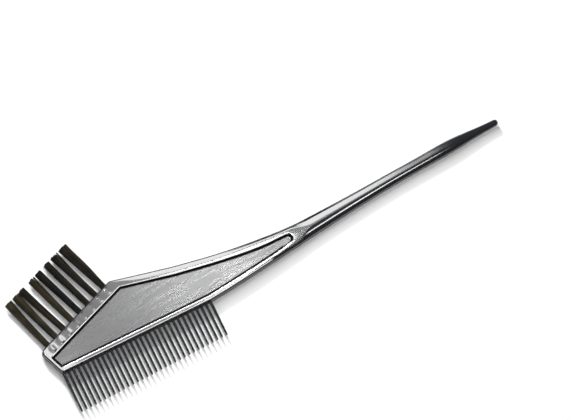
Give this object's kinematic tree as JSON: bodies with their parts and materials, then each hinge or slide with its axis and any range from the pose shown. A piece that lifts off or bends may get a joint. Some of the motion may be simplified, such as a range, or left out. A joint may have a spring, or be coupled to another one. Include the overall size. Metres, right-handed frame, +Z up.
{
  "type": "tint brush",
  "caption": "Hair tint brush with a flat tapered handle, a slanted row of nylon tufts along one edge of its head and a fine comb along the other.",
  "frame": {"origin": "middle of the brush's box at the surface it lies on", "axes": "+X along the handle from the head to the tail, +Y towards the bristle side, +Z up out of the face that looks up"},
  "size_m": [0.2146, 0.0672, 0.0052],
  "materials": {
    "black_plastic": "satin moulded",
    "bristle_nylon": "drawn nylon filament",
    "anchor_steel": "flattened wire"
  },
  "bodies": {
    "root": {"handle": "black_plastic", "tufts_1_and_2": "bristle_nylon", "tufts_3_and_4": "bristle_nylon", "tufts_5_and_6": "bristle_nylon", "tufts_7_and_8": "bristle_nylon", "anchor_1": "anchor_steel", "anchor_2": "anchor_steel", "anchor_3": "anchor_steel", "anchor_4": "anchor_steel", "anchor_5": "anchor_steel", "anchor_6": "anchor_steel", "anchor_7": "anchor_steel", "anchor_8": "anchor_steel"}
  },
  "joints": []
}
